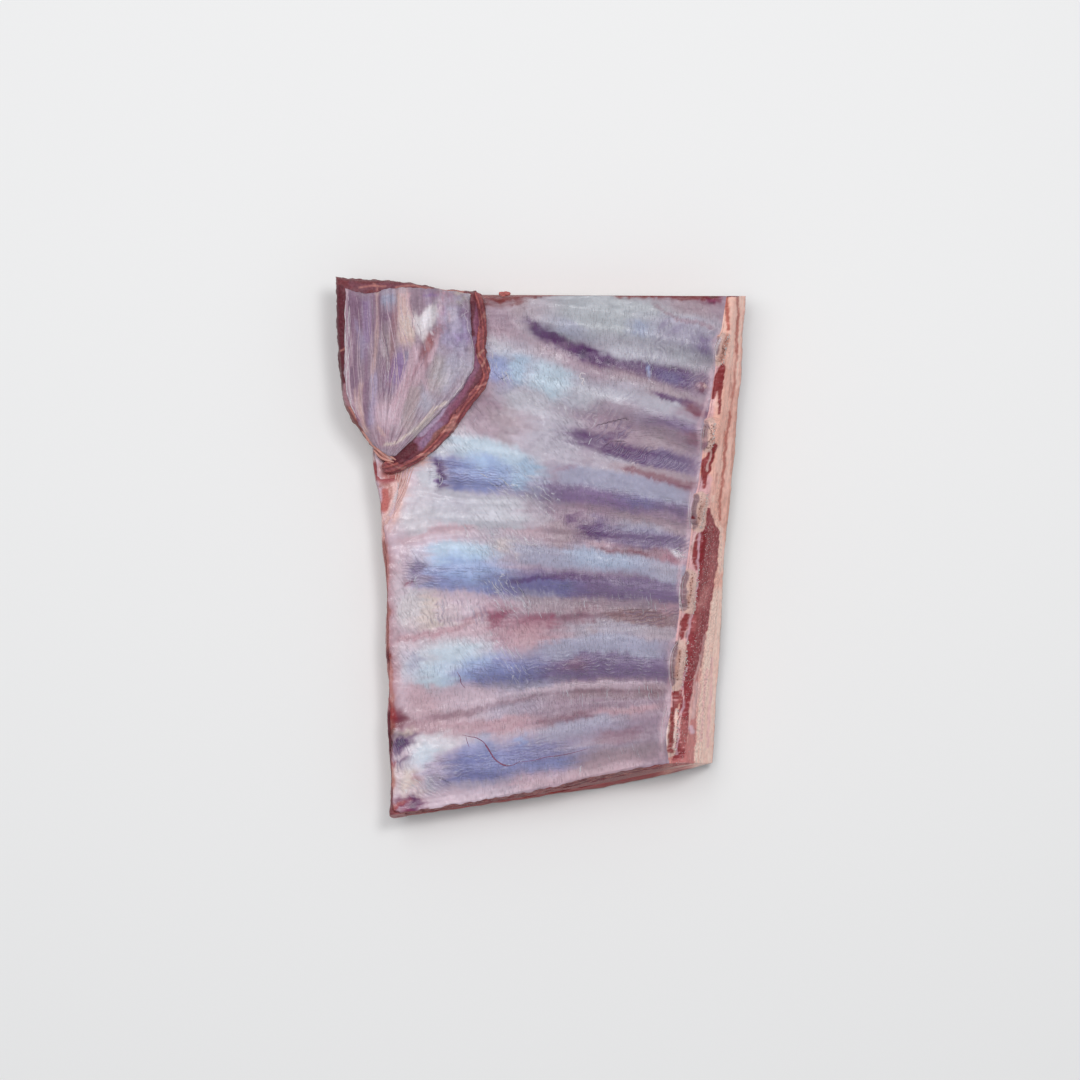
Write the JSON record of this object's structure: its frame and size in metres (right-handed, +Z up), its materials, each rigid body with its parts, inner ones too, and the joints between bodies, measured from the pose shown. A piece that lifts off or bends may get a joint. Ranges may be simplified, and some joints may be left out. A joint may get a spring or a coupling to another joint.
{
  "type": "raw lamb ribs",
  "caption": "Slab of raw lamb breast with its ribs, lining side up: split breastbone on one side, sawn rib ends on the other, a fold of skirt over one corner.",
  "frame": {"origin": "centre of the bounding box in plan, at the flat spot of the fat side that the slab rests on", "axes": "+X from the breastbone to the sawn ends of the ribs, +Y towards the head end, where the skirt is folded over, +Z up, out of the lining"},
  "size_m": [0.136, 0.1808, 0.0258],
  "materials": {
    "fat": "moist, satin",
    "meat": "wet",
    "lining": "wet, translucent",
    "marrow_bone": "moist",
    "bone": "moist, satin",
    "silverskin": "wet, translucent"
  },
  "bodies": {
    "root": {"fat_cap": "fat", "breast_muscle": "meat", "rib_wall": "lining", "breastbone": "marrow_bone", "rib_1": "bone", "rib_2": "bone", "rib_3": "bone", "rib_4": "bone", "rib_5": "bone", "rib_6": "bone", "skirt_muscle": "meat", "skirt_silverskin": "silverskin"}
  },
  "joints": []
}
